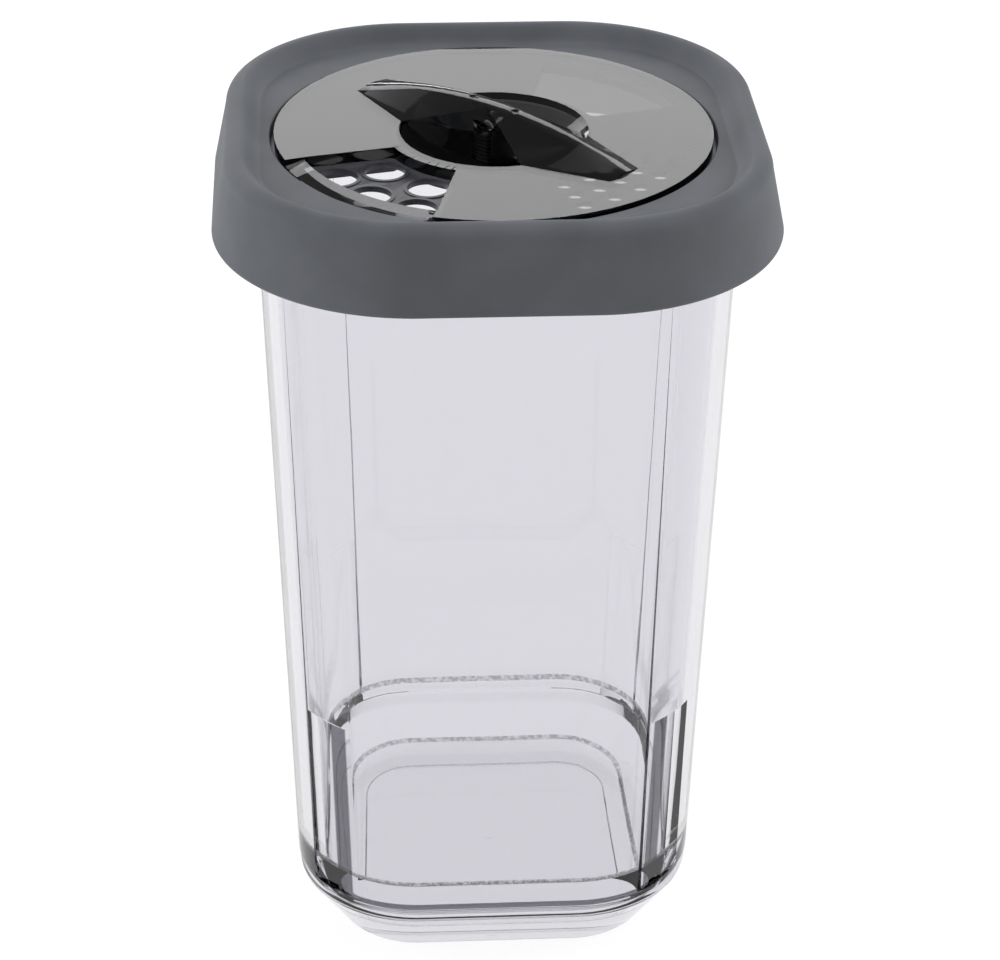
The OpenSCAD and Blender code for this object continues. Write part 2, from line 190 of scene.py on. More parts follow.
class LidSizes(PropertyGroup):
    """Sizes of the lid's cover, core and seal."""
    seat_gap: length("Seat gap", "Gap between the jar's rim and the plate", 0.2)
    plate_t: length("Plate", "Thickness of the plate that holds the sieves", 1.4)
    skirt_gap: length("Skirt gap", "Gap between the jar's outside and the core's skirt", 0.5)
    plug_gap: length("Plug gap", "Gap between the plug and the jar's wall", 1.2)
    plug_t: length("Plug", "Thickness of the plug's wall", 1.0)
    seal_wall: length("Seal wall", "Thickness of the seal inside and under the plug", 0.8)
    seal_round: length("Seal rounding", "Radius of the seal's edges", 0.16)
    sieve_t: length("Sieve", "Thickness of the plate where the sieves are", 0.6)
    sieve_land: length("Sieve land", "Land between the dish and the thin sieves", 0.5)
    cover_t: length("Cover", "Thickness of the soft cover outside the core at the rim", 1.6)
    cover_wrap: length("Cover wrap", "Height of the lip that wraps under the core's skirt", 0.6)
    skirt_round: length("Skirt rounding", "Radius of the skirt's lower edge", 0.9)
    rim_w: length("Rim width", "Width of the raised rim", 4.4)
    rim_rise: length("Rim rise", "Height of the rim above the panel", 2.1)
    rim_round: length("Rim rounding", "Radius of the rim's outer shoulder", 2.0)
    panel_edge: length("Panel edge", "Radius of the edge round the dial's opening", 0.25)
    dial_gap: length("Dial gap", "Gap between the dial's edge and the panel", 0.5)
    core_edge: length("Core edge", "Radius of the core's moulded edges", 0.12)
    hub_h: length("Hub", "Height of the hub below the dish", 1.6)
    hub_wall: length("Hub wall", "Thickness of the hub round the pivot pin", 2.2)
    dish_wall: length("Dish wall", "Thickness of the dish under the dial's finger bowl", 1.3)
    pin_fit: length("Pin fit", "Clearance of the pin in the hub", 0.08)
    coarse_d: length("Coarse holes", "Diameter of the coarse holes", 4.9)
    coarse_ring: length("Coarse ring", "Width of the raised ring round a coarse hole", 0.45)
    coarse_ring_h: length("Coarse ring height", "Height of that ring", 0.12)
    coarse_edge: length("Coarse edge", "Distance from the window's edge to the outer coarse holes", 0.2)
    coarse_land: length("Coarse land", "Land between the dish and the rings of the inner coarse holes", 1.1)
    coarse_outer_step: angle("Outer step", "Angle between neighbours in the outer row of coarse holes", 17.2)
    coarse_inner_step: angle("Inner step", "Angle between neighbours in the inner row of coarse holes", 25.5)
    fine_d: length("Fine holes", "Diameter of the fine holes", 2.0)
    fine_edge: length("Fine edge", "Distance from the window's edge to the outer fine holes", 1.3)
    fine_inner_span: angle("Inner span", "Angle that the inner row of fine holes spans", 36.0)
    fine_outer_span: angle("Outer span", "Angle that the outer row of fine holes spans", 42.0)

    @property
    def plate_z(self):
        return JAR_HIGH.z + self.seat_gap

    @property
    def plate_top(self):
        return self.plate_z + self.plate_t

    @property
    def core_in(self):
        return JAR_HIGH.x + self.skirt_gap

    @property
    def wrap_z(self):
        return COVER_LOW.z + self.cover_wrap

    @property
    def plug_out(self):
        return JAR_HIGH.x - bpy.context.scene.shaker_jar.wall - self.plug_gap

    @property
    def plug_in(self):
        return self.plug_out - self.plug_t

    @property
    def plug_z(self):
        return SEAL_LOW.z + self.seal_wall


class DialSizes(PropertyGroup):
    """Sizes of the dial, its window, bowl and grip, and of the pin under it."""
    run_gap: length("Running gap", "Gap between the dial and the core", 0.35)
    dial_t: length("Disc", "Thickness of the disc", 1.4)
    edge: length("Edge rounding", "Radius of the dial's moulded edges", 0.16)
    bowl_d: length("Bowl", "Diameter of the finger bowl", 22.8)
    bowl_depth: length("Bowl depth", "Depth of the finger bowl", 3.7)
    bowl_wall: length("Bowl wall", "Thickness of the bowl's wall", 1.3)
    blade_l: length("Blade length", "Length of the grip blade", 40.6)
    tip_rise: length("Tip rise", "Height of the blade above the disc at its tips", 0.3)
    blade_t: length("Blade", "Thickness of the blade in the middle of the bowl", 4.0)
    ridge_w: length("Ridge", "Width of the blade's top ridge", 2.4)
    ridge_crown: length("Ridge crown", "How far the ridge rounds off towards its two sides", 0.25)
    tip_w: length("Tip width", "Width of the blade's tips", 5.2)
    foot_w: length("Blade foot", "Width of the blade's foot where it meets the bowl's edge", 12.0)
    dimple_d: length("Dimple", "Diameter of the two dimples on the ridge", 1.3)
    dimple_depth: length("Dimple depth", "Depth of the dimples", 0.3)
    dimple_pitch: length("Dimple pitch", "Distance between the two dimples", 6.8)
    window_land: length("Window land", "Land between the finger bowl and the window", 1.8)
    window_band: length("Window band", "Width of the dial's band outside the window", 2.3)
    window_w: length("Window width", "Width of the window at its inner edge", 10.0)
    window_splay: angle("Window splay", "Angle between the window's sides and its middle line", 31.5)
    window_round: length("Window rounding", "Radius of the window's corners", 0.5)
    band_drop: length("Band drop", "How far the band outside the window lies below the disc", 0.3)
    band_fall: length("Band fall", "How much further the band falls towards the dial's edge", 0.5)
    pin_d: length("Pin", "Diameter of the pivot pin", 3.2)
    pin_press: length("Pin press", "How far the pressed pin bites into its socket", 0.02)
    post_wall: length("Post wall", "Thickness of the post round the pin", 1.0)
    head_t: length("Pin head", "Thickness of the pin's head", 1.2)

    @property
    def top(self):
        return bpy.context.scene.shaker_lid.plate_top + self.run_gap + self.dial_t

    @property
    def ball(self):
        """Radius of the sphere that shapes the finger bowl."""
        radius = self.bowl_d / 2
        return (radius * radius + self.bowl_depth * self.bowl_depth) / (2 * self.bowl_depth)

    @property
    def ball_z(self):
        return self.top - self.bowl_depth + self.ball

    @property
    def foot_s(self):
        """Distance along the blade from the middle to its widest place, on the bowl's edge."""
        return sqrt((self.bowl_d / 2) ** 2 - (self.foot_w / 2) ** 2)

    @property
    def window_in(self):
        return self.bowl_d / 2 + self.window_land

    @property
    def window_out(self):
        return DIAL_HIGH.x - self.window_band


class Finishes(PropertyGroup):
    """Colours of the pieces."""
    cover: colour("Soft cover", "Matt grey elastomer", "#65686d")
    cover_worn: colour("Soft cover, rubbed", "Paler bloom of the elastomer", "#6f7278")
    core: colour("Core", "Satin grey polypropylene", "#3f4045")
    core_lit: colour("Core, lighter", "Flow marks of the polypropylene", "#494a50")
    seal: colour("Seal", "Translucent silicone", "#c9c9cc")
    pin: colour("Pin", "Dark acetal", "#2f3035")
    jar_tint: colour("Jar tint", "Light that the clear plastic lets through", "#d9d8df")
    jar_skin: colour("Jar skin", "Light that the clear plastic's surface lets through", "#ecebef")
    # Painted shade: the dark colour painted as bands on the front corners' facets, as a line along the
    # front's foot and as flecks on the inner creases
    jar_painted_shade: colour("Jar folds", "Light that the folds in the clear wall let through", "#37373f")
    smoke_tint: colour("Smoke tint", "Light that the smoky plastic lets through", "#5a5a62")


class Studio(PropertyGroup):
    """The paper floor and the camera."""
    paper: colour("Paper", "Grey of the paper floor under its glow", "#6c6c6c")
    distance: length("Distance", "Distance from the camera to what it looks at", 393.9)
    look_z: length("Look height", "Height of the point that the camera looks at", 58.4)
    look_aside: length("Look aside", "How far that point lies to the right of the middle", 1.15)
    azimuth: angle("Azimuth", "Camera's turn round the object", -3.64)
    elevation: angle("Elevation", "Camera's height above the horizon", 29.53)
    roll: angle("Roll", "Camera's turn about its own line of sight", 0.565)
    lens: FloatProperty(name="Lens", description="Focal length in millimetres for the sensor's width",
                        default=110.82, min=1.0)
    sensor: FloatProperty(name="Sensor", description="Width of the sensor in millimetres", default=36.0,
                          min=1.0)


def verts_of(geometry):
    return [g for g in geometry if isinstance(g, bmesh.types.BMVert)]


def edges_of(geometry):
    return [g for g in geometry if isinstance(g, bmesh.types.BMEdge)]


def arc(centre, radius, start, end, steps=8):
    """Points of an arc between two angles, both ends included."""
    angles = [start + (end - start) * i / steps for i in range(steps + 1)]
    return [(centre[0] + radius * cos(a), centre[1] + radius * sin(a)) for a in angles]


def chain(bm, points, closed=False):
    """A few vertices joined by edges, as the profile that an operator then carries on."""
    verts = [bm.verts.new(point) for point in points]
    ends = verts[1:] + verts[:1] if closed else verts[1:]
    return verts, [bm.edges.new(pair) for pair in zip(verts, ends)]


def swept(profile, closed=False, side_steps=1):
    """A shape whose profile of (half width, height) points runs once round the rounded square."""
    jar = bpy.context.scene.shaker_jar
    flat = jar.side_flat / 2
    bm = bmesh.new()
    verts, edges = chain(bm, [(half, -flat, height) for half, height in profile], closed)
    for turn in range(4):
        quarter = Matrix.Rotation(turn * pi / 2, 3, "Z")
        for _ in range(side_steps):
            grown = bmesh.ops.extrude_edge_only(bm, edges=edges)["geom"]
            verts, edges = verts_of(grown), edges_of(grown)
            bmesh.ops.translate(bm, verts=verts, vec=quarter @ Vector((0, 2 * flat / side_steps, 0)))
        spun = bmesh.ops.spin(bm, geom=verts + edges, cent=quarter @ Vector((flat, flat, 0)),
                              axis=(0, 0, 1), angle=pi / 2, steps=jar.corner_steps)["geom_last"]
        verts, edges = verts_of(spun), edges_of(spun)
    bmesh.ops.remove_doubles(bm, verts=bm.verts, dist=MERGE)
    return bm


def turned(profile, steps, closed=False):
    """A solid whose profile of (radius, height) points spins all the way round Z."""
    bm = bmesh.new()
    verts, edges = chain(bm, [(radius, 0, height) for radius, height in profile], closed)
    bmesh.ops.spin(bm, geom=verts + edges, cent=(0, 0, 0), axis=(0, 0, 1), angle=2 * pi, steps=steps,
                   use_merge=True)
    outward(bm)
    return bm


def rim_at(bm, height):
    """The open edges that lie at a height."""
    return [e for e in bm.edges if e.is_boundary and all(abs(v.co.z - height) < MERGE for v in e.verts)]


def close_at(bm, height):
    """Closes the hole that a sweep leaves at a height with one flat face."""
    bmesh.ops.contextual_create(bm, geom=rim_at(bm, height))


def prism(outline, low, high, direction=0.0, corner_round=0.0):
    """A prism over an outline in plan, from low to high, turned to face a direction."""
    bm = bmesh.new()
    face = bm.faces.new([bm.verts.new((x, y, low)) for x, y in outline])
    grown = bmesh.ops.extrude_face_region(bm, geom=[face])["geom"]
    bmesh.ops.translate(bm, verts=verts_of(grown), vec=(0, 0, high - low))
    bmesh.ops.rotate(bm, verts=bm.verts, cent=(0, 0, 0), matrix=Matrix.Rotation(direction, 3, "Z"))
    outward(bm)
    if corner_round:
        soften(bm, corner_round, 5, lambda e: abs(e.verts[0].co.z - e.verts[1].co.z) > MERGE)
    return bm


def cylinder(radius, low, high, steps=HUB_STEPS, place=(0.0, 0.0)):
    """A closed upright cylinder."""
    bm = bmesh.new()
    bmesh.ops.create_cone(bm, cap_ends=True, segments=steps, radius1=radius, radius2=radius,
                          depth=high - low)
    bmesh.ops.translate(bm, verts=bm.verts, vec=(*place, (low + high) / 2))
    return bm


def outward(bm):
    """Merges doubles and turns every face outwards."""
    bmesh.ops.remove_doubles(bm, verts=bm.verts, dist=MERGE)
    bmesh.ops.recalc_face_normals(bm, faces=bm.faces)


def soften(bm, radius, segments, chosen=lambda edge: True, least=EDGE_TURN):
    """Rounds the chosen edges that turn by more than an angle."""
    edges = [e for e in bm.edges if e.is_manifold and e.calc_face_angle() > least and chosen(e)]
    bmesh.ops.bevel(bm, geom=edges, offset=radius, offset_type="OFFSET", affect="EDGES", segments=segments,
                    profile=0.5, material=-1, clamp_overlap=True)


def together(*parts):
    """Several separate solids in one bmesh."""
    whole = bmesh.new()
    for part in parts:
        mesh = bpy.data.meshes.new("part")
        part.to_mesh(mesh)
        part.free()
        whole.from_mesh(mesh)
        bpy.data.meshes.remove(mesh)
    return whole


def workpiece(bm):
    """A bmesh as an object for as long as a boolean needs it."""
    mesh = bpy.data.meshes.new("workpiece")
    bm.to_mesh(mesh)
    bm.free()
    work = bpy.data.objects.new("workpiece", mesh)
    bpy.context.scene.collection.objects.link(work)
    return work


def combine(bm, *steps):
    """Joins or cuts solids one after the other, and gives the result as a bmesh."""
    work = workpiece(bm)
    tools = []
    for operation, tool in steps:
        tools.append(workpiece(tool))
        cut = work.modifiers.new("cut", "BOOLEAN")
        cut.operation = operation
        cut.object = tools[-1]
        cut.solver = "EXACT"
    graph = bpy.context.evaluated_depsgraph_get()
    result = bmesh.new()
    result.from_mesh(work.evaluated_get(graph).to_mesh())
    for used in [work, *tools]:
        mesh = used.data
        bpy.data.objects.remove(used)
        bpy.data.meshes.remove(mesh)
    if not result.faces:
        raise RuntimeError("a cut left nothing of its piece")
    bmesh.ops.dissolve_degenerate(result, dist=MERGE, edges=result.edges)
    outward(result)
    return result


def finish_piece(name, bm, material, body, node):
    """Makes the modelled piece an object that rides on its body in place of its node."""
    for face in bm.faces:
        face.smooth = True
    mesh = bpy.data.meshes.new(name)
    bm.to_mesh(mesh)
    bm.free()
    mesh.materials.append(material)
    piece = bpy.data.objects.new(name, mesh)
    bpy.context.scene.collection.objects.link(piece)
    even = piece.modifiers.new("even_shading", "WEIGHTED_NORMAL")
    even.keep_sharp = True
    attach(piece, body)
    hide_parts(node)
    return piece


def new_material(name):
    """A material with only its output and a Principled shader, and the tree that holds them."""
    material = bpy.data.materials.new(name)
    material.use_nodes = True
    tree = material.node_tree
    return material, tree, tree.nodes["Principled BSDF"]


def feed(tree, node, inputs):
    """Gives a node's inputs their values, or links them to a socket or a node's first output."""
    for name, value in inputs.items():
        if isinstance(value, bpy.types.Node):
            value = value.outputs[0]
        if isinstance(value, bpy.types.NodeSocket):
            tree.links.new(value, node.inputs[name])
        else:
            node.inputs[name].default_value = value


def add(tree, kind, inputs=None, **settings):
    """Adds a node with its settings and inputs."""
    made = tree.nodes.new(kind)
    for key, value in settings.items():
        setattr(made, key, value)
    feed(tree, made, inputs or {})
    return made


def grain_surface(tree, shader, where, size, detail, rough, strength, depth):
    """Roughens a surface with a grain of a size, which also stands up by a depth."""
    grain = add(tree, "ShaderNodeTexNoise", {"Vector": where, "Scale": 1 / size, "Detail": detail})
    low, high = rough
    feed(tree, shader, {
        "Roughness": add(tree, "ShaderNodeMapRange", {"Value": grain, "To Min": low, "To Max": high}),
        "Normal": add(tree, "ShaderNodeBump", {"Height": grain, "Strength": strength, "Distance": depth}),
    })


def cloud_colour(tree, shader, where, size, detail, distortion, tones):
    """Colours a surface with two tones that run into each other in clouds of a size."""
    cloud = add(tree, "ShaderNodeTexNoise", {"Vector": where, "Scale": 1 / size, "Detail": detail,
                                             "Distortion": distortion})
    tone = add(tree, "ShaderNodeValToRGB", {"Fac": cloud})
    for stop, (position, shade) in zip(tone.color_ramp.elements, tones):
        stop.position = position
        stop.color = shade
    feed(tree, shader, {"Base Color": tone})


def clear_through(tree, shader, ior, tint, density):
    """Makes a shader clear, with a tint that deepens with the plastic's thickness."""
    feed(tree, shader, {"IOR": ior, "Transmission Weight": 1.0})
    body = add(tree, "ShaderNodeVolumeAbsorption", {"Color": tint, "Density": density})
    feed(tree, tree.nodes["Material Output"], {"Volume": body})


def soft_elastomer():
    """Thermoplastic elastomer, overmoulded in a spark-eroded tool: matt, with a fine even grain."""
    material, tree, shader = new_material("thermoplastic_elastomer_matt")
    finish = bpy.context.scene.shaker_finish
    where = add(tree, "ShaderNodeTexCoord").outputs["Object"]
    # The grain of the tool is about 0.1 mm, and is drawn at 0.25 mm so that it shows
    grain_surface(tree, shader, where, size=0.25 * MM, detail=2.0, rough=(0.55, 0.7), strength=0.25,
                  depth=0.05 * MM)
    # Bloom and handling leave paler clouds about 9 mm across
    cloud_colour(tree, shader, where, size=9 * MM, detail=3.0, distortion=0.0,
                 tones=((0.35, finish.cover), (0.75, finish.cover_worn)))
    feed(tree, shader, {"Specular IOR Level": 0.4})
    return material


def satin_polypropylene():
    """Polypropylene, moulded in a lightly blasted tool: satin, with faint flow marks."""
    material, tree, shader = new_material("polypropylene_satin")
    finish = bpy.context.scene.shaker_finish
    where = add(tree, "ShaderNodeTexCoord").outputs["Object"]
    # The blasted grain is about 0.08 mm, and is drawn at 0.2 mm so that it shows
    grain_surface(tree, shader, where, size=0.2 * MM, detail=2.0, rough=(0.31, 0.37), strength=0.04,
                  depth=0.03 * MM)
    # The melt's flow leaves marks about 6 mm across
    cloud_colour(tree, shader, where, size=6 * MM, detail=4.0, distortion=0.6,
                 tones=((0.3, finish.core), (0.8, finish.core_lit)))
    return material


def mask(tree, steps, shown=1.0):
    """What is shown where every value is past its end, and 0 where any is short of its start."""
    for value, start, end in steps:
        shown = add(tree, "ShaderNodeMapRange", {"Value": value, "From Min": start, "From Max": end,
                                                 "To Max": shown})
    return shown


def painted_front_shade(tree, where):
    """1 where shade is painted on the front: two dark bands on the halves of the corner facets next to the
    front wall, and a dark line along the wall's foot; else 0.
    """
    jar = bpy.context.scene.shaker_jar
    flat, mid = jar.side_flat / 2, jar.wall / 2
    front_full = flat * 1.8
    low, line_top = jar.wall_z - jar.shade_line_under, jar.wall_z + jar.shade_line_over
    place = add(tree, "ShaderNodeSeparateXYZ", {"Vector": where}).outputs
    plan = add(tree, "ShaderNodeVectorMath", {0: where, 1: (1.0, 1.0, 0.0)}, operation="MULTIPLY")
    plan = add(tree, "ShaderNodeVectorMath", {0: plan}, operation="ABSOLUTE")
    corner = add(tree, "ShaderNodeVectorMath", {0: plan, 1: (flat, flat, 0.0)}, operation="SUBTRACT")
    corner = add(tree, "ShaderNodeVectorMath", {0: corner, 1: (0.0, 0.0, 0.0)}, operation="MAXIMUM")
    reach = add(tree, "ShaderNodeVectorMath", {0: corner}, operation="LENGTH").outputs["Value"]
    # The middle of the wall parts its outside, which carries the painted shade, from its inside
    middle = add(tree, "ShaderNodeMapRange", {
        "Value": place["Z"], "From Min": jar.wall_z, "From Max": jar.facet_top,
        "To Min": jar.half(jar.wall_z) - flat - mid, "To Max": jar.half(jar.facet_top) - flat - mid,
    })
    outside = add(tree, "ShaderNodeMath", {0: reach, 1: middle}, operation="SUBTRACT")
    sides = add(tree, "ShaderNodeSeparateXYZ", {"Vector": plan}).outputs
    forward = add(tree, "ShaderNodeMath", {0: sides["Y"], 1: sides["X"]}, operation="SUBTRACT")
    # Painted shade: the two dark bands on the front corners' facets, up to the facets' shelf
    fold = mask(tree, ((forward, jar.shade_band_start, jar.shade_band_start + jar.shade_band_soft),
                       (forward, jar.shade_band_end, jar.shade_band_end - jar.shade_band_soft),
                       (place["Z"], jar.facet_top, jar.facet_top - MERGE)))
    # Painted shade: the dark line along the foot of the front wall
    line = mask(tree, ((place["Z"], line_top, line_top - MERGE),))
    bands_and_line_shade = add(tree, "ShaderNodeMath", {0: fold, 1: line}, operation="MAXIMUM")
    # The painted shade lies on the outside of the wall, on its front only, above the line's lower end
    return mask(tree, ((outside, 0.0, MERGE), (place["Y"], -flat, -front_full),
                       (place["Z"], low, low + MERGE)), bands_and_line_shade)


def clear_jar_plastic():
    """Styrene acrylonitrile, moulded in a polished tool: clear, with painted shade in dark bands and a line
    on the front, and two crinkled edges with painted shade in darker flecks.
    """
    material, tree, shader = new_material("styrene_acrylonitrile_clear")
    finish = bpy.context.scene.shaker_finish
    where = add(tree, "ShaderNodeTexCoord").outputs["Object"]
    # The melt's flow leaves a slow waviness about 14 mm long in the polished walls
    wave = add(tree, "ShaderNodeTexNoise", {"Vector": where, "Scale": 1 / (14 * MM), "Detail": 1.0})
    waviness = add(tree, "ShaderNodeBump", {"Height": wave, "Strength": 0.08, "Distance": 0.4 * MM})
    # The tool's unpolished inner edges leave a crinkle about 0.6 mm across; the darker flecks on it are
    # painted shade along those inner creases
    crinkle_and_crease_shade = add(tree, "ShaderNodeTexNoise", {"Vector": where, "Scale": 1 / (0.6 * MM), "Detail": 2.0})
    edge = add(tree, "ShaderNodeAttribute", attribute_name="crinkle_and_crease_shade").outputs["Fac"]
    height = add(tree, "ShaderNodeMath", {0: crinkle_and_crease_shade, 1: edge}, operation="MULTIPLY")
    bump = add(tree, "ShaderNodeBump", {"Height": height, "Normal": waviness, "Strength": 0.7,
                                        "Distance": 0.25 * MM})
    crease_shade_spots = add(tree, "ShaderNodeMapRange", {"Value": crinkle_and_crease_shade, "From Min": 0.35, "From Max": 0.6,
                                             "To Min": 0.2, "To Max": 0.8})
    painted_crease_shade = add(tree, "ShaderNodeMath", {0: edge, 1: crease_shade_spots}, operation="MULTIPLY")
    # Painted shade: the front's dark bands and foot line, and the flecks on the creases, take the dark
    # colour
    dark = add(tree, "ShaderNodeMath", {0: painted_front_shade(tree, where), 1: painted_crease_shade}, operation="MAXIMUM")
    tone = add(tree, "ShaderNodeValToRGB", {"Fac": dark})
    tone.color_ramp.elements[0].color = finish.jar_skin
    tone.color_ramp.elements[1].color = finish.jar_painted_shade
    rough = add(tree, "ShaderNodeMapRange", {"Value": edge, "To Max": 0.3})
    feed(tree, shader, {"Base Color": tone, "Roughness": rough, "Normal": bump})
    clear_through(tree, shader, ior=1.5, tint=finish.jar_tint, density=15.0)
    return material


def smoky_plastic():
    """Styrene acrylonitrile tinted smoke grey, moulded in a polished tool: glossy, dark where thick."""
    material, tree, shader = new_material("styrene_acrylonitrile_smoke")
    where = add(tree, "ShaderNodeTexCoord").outputs["Object"]
    # Wiping leaves faint haze about 7 mm across on the gloss
    haze = add(tree, "ShaderNodeTexNoise", {"Vector": where, "Scale": 1 / (7 * MM), "Detail": 2.0})
    rough = add(tree, "ShaderNodeMapRange", {"Value": haze, "From Min": 0.3, "From Max": 0.8,
                                             "To Max": 0.04})
    # The melt's flow leaves a slow waviness about 10 mm long
    wave = add(tree, "ShaderNodeTexNoise", {"Vector": where, "Scale": 1 / (10 * MM), "Detail": 1.0})
    bump = add(tree, "ShaderNodeBump", {"Height": wave, "Strength": 0.08, "Distance": 0.2 * MM})
    feed(tree, shader, {"Base Color": WHITE, "Roughness": rough, "Normal": bump})
    clear_through(tree, shader, ior=1.57, tint=bpy.context.scene.shaker_finish.smoke_tint, density=520.0)
    return material


def silicone_rubber():
    """Silicone rubber, compression moulded: milky, soft sheen, a little dust."""
    material, tree, shader = new_material("silicone_rubber_milky")
    where = add(tree, "ShaderNodeTexCoord").outputs["Object"]
    # Dust clings in specks about 1.2 mm across
    grain_surface(tree, shader, where, size=1.2 * MM, detail=3.0, rough=(0.35, 0.55), strength=0.1,
                  depth=0.05 * MM)
    feed(tree, shader, {"Base Color": bpy.context.scene.shaker_finish.seal, "Subsurface Weight": 0.4,
                        "Subsurface Scale": 1.0 * MM})
    return material


def dark_acetal():
    """Acetal, turned or moulded: dark, waxy gloss with fine turning marks."""
    material, tree, shader = new_material("acetal_dark")
    where = add(tree, "ShaderNodeTexCoord").outputs["Object"]
    # The turning marks lie about 1.5 mm apart
    marks = add(tree, "ShaderNodeTexWave", {"Vector": where, "Scale": 1 / (1.5 * MM), "Distortion": 0.5},
                bands_direction="Z").outputs["Fac"]
    rough = add(tree, "ShaderNodeMapRange", {"Value": marks, "To Min": 0.25, "To Max": 0.35})
    feed(tree, shader, {"Base Color": bpy.context.scene.shaker_finish.pin, "Roughness": rough})
    return material


def window_corner(dial):
    """Outer corner of the dial's window in plan, about +X, and where its splayed side starts."""
    half = dial.window_w / 2
    start = sqrt(dial.window_in ** 2 - half ** 2)
    splay = dial.window_splay
    along = start * cos(splay) + half * sin(splay)
    run = sqrt(along ** 2 + dial.window_out ** 2 - dial.window_in ** 2) - along
    return (start + run * cos(splay), half + run * sin(splay)), (start, half)


def window_outline(dial, inner):
    """Outline of a window in plan, about +X: an inner arc, two splayed sides and an outer arc."""
    corner, start = window_corner(dial)
    inner_turn = atan2(start[1], sqrt(inner ** 2 - start[1] ** 2))
    outer_turn = atan2(corner[1], corner[0])
    side = [start] if inner < dial.window_in - MERGE else []
    return (arc((0, 0), inner, -inner_turn, inner_turn, 8) + side
            + arc((0, 0), dial.window_out, outer_turn, -outer_turn, 20) + [(x, -y) for x, y in side])


def wedge_outline(dial):
    """A wedge with the window's two sides, which run straight out from the window's outer corners."""
    corner, start = window_corner(dial)
    side = [(0, start[1]), start, corner, (2 * corner[0], 2 * corner[1])]
    return [(x, -y) for x, y in side] + side[::-1]


def ball_profile(dial, radius, top, steps=28):
    """Profile of the bowl's sphere from its lowest point up to a height, closed on the axis."""
    end = atan2(top - dial.ball_z, sqrt(radius ** 2 - (top - dial.ball_z) ** 2))
    return arc((0, dial.ball_z), radius, -pi / 2, end, steps) + [(0, top)]


class SHAKER_OT_jar(Operator):
    """Model the clear square jar with its chamfered base, foot ring and corner facets"""
    bl_idname = "shaker.jar"
    bl_label = "Jar"

    def execute(self, context):
        jar = context.scene.shaker_jar
        foot, flat = jar.foot_w / 2, jar.side_flat / 2
        ring_in = foot - jar.foot_ring
        band = jar.base_w / 2 - jar.base_band_in
        bm = swept([
            (flat, jar.foot_hollow), (ring_in, jar.foot_hollow), (ring_in, JAR_LOW.z), (foot, JAR_LOW.z),
            (foot + jar.foot_edge, jar.foot_edge), (band, jar.chamfer_top), (band, jar.wall_z),
            (jar.base_w / 2, jar.wall_z), (JAR_HIGH.x, JAR_HIGH.z), (JAR_HIGH.x - jar.wall, JAR_HIGH.z),
            (jar.half(jar.slope_top) - jar.wall, jar.slope_top), (jar.floor_w / 2, jar.floor_z),
            (flat, jar.floor_z),
        ])
        close_at(bm, jar.foot_hollow)
        close_at(bm, jar.floor_z)
        outward(bm)
        soften(bm, jar.lip_round, 5, lambda e: e.verts[0].co.z > JAR_HIGH.z - MERGE)
        hollow = {e for e in bm.edges if all(
            v.co.z < jar.foot_hollow + MERGE and max(abs(v.co.x), abs(v.co.y)) < ring_in + MERGE
            for v in e.verts)}
        soften(bm, jar.edge_round, 3, lambda e: e.verts[0].co.z < JAR_HIGH.z / 2 and e not in hollow
               and abs(e.verts[0].co.z - jar.wall_z) > MERGE)
        soften(bm, jar.hollow_round, 4, lambda e: e in hollow)
        gate = cylinder(jar.gate_d / 2, jar.foot_hollow - jar.gate_stand, jar.foot_hollow + jar.floor_t / 2)
        bm = combine(bm, ("UNION", gate), ("DIFFERENCE", self.facet_cuts(jar)))
        self.soften_facets(bm, jar)
        self.mark_crinkle_and_crease_shade(bm, jar)
        finish_piece("clear_jar", bm, clear_jar_plastic(), "jar", "jar")
        return {"FINISHED"}

    def facet_cuts(self, jar):
        """Four wedges that leave a flat facet between two level shelves at each corner."""
        far = JAR_HIGH.x * 2
        top_d = jar.corner_reach(jar.facet_top) - jar.facet_cut
        low_d = jar.corner_reach(jar.wall_z) - jar.facet_cut - jar.facet_deepen
        section = [(low_d, jar.wall_z), (far, jar.wall_z), (far, jar.facet_top), (top_d, jar.facet_top)]
        wedges = []
        for turn in range(4):
            wedge = prism(section, -jar.base_w / 4, jar.base_w / 4)
            for axis, by in (("X", pi / 2), ("Z", pi / 4 + turn * pi / 2)):
                bmesh.ops.rotate(wedge, verts=wedge.verts, cent=(0, 0, 0),
                                 matrix=Matrix.Rotation(by, 3, axis))
            wedges.append(wedge)
        return together(*wedges)

    def soften_facets(self, bm, jar):
        """Rounds the edges of the facets, their shelves and the foot of the walls."""
        least_share, slack, least_facing = 0.4, 0.01, -0.1

        def is_facet(face):
            middle, normal = face.calc_center_median(), face.normal
            across = Vector((middle.x, middle.y, 0)).normalized()
            at_corner = min(abs(across.x), abs(across.y)) > least_share
            shelf = abs(middle.z - jar.facet_top) < MERGE
            diagonal = abs(abs(normal.x) - abs(normal.y)) < slack
            upright = jar.wall_z < middle.z < jar.facet_top and diagonal
            return at_corner and (shelf or upright) and normal.dot(across) > least_facing

        chosen = {e for f in bm.faces if is_facet(f) for e in f.edges}
        chosen |= {e for e in bm.edges if all(abs(v.co.z - jar.wall_z) < MERGE for v in e.verts)}
        soften(bm, jar.facet_round, 2, lambda e: e in chosen, FACET_TURN)

    def mark_crinkle_and_crease_shade(self, bm, jar):
        """Marks the narrow faces along the two inner edges that the tool leaves crinkled, where shade is
        also painted in darker flecks.
        """
        layer = bm.faces.layers.float.new("crinkle_and_crease_shade")
        reach, level = jar.edge_round, 0.99
        for face in bm.faces:
            middle = face.calc_center_median()
            half = max(abs(middle.x), abs(middle.y))
            inside = jar.side_flat / 2 < half < jar.half(middle.z) - jar.wall / 2
            heights = [v.co.z for v in face.verts]
            narrow = max(heights) - min(heights) < reach
            near_floor = abs(middle.z - jar.floor_z) < reach and face.normal.z < level
            near_slope = abs(middle.z - jar.slope_top) < reach
            face[layer] = 1.0 if inside and narrow and (near_floor or near_slope) else 0.0


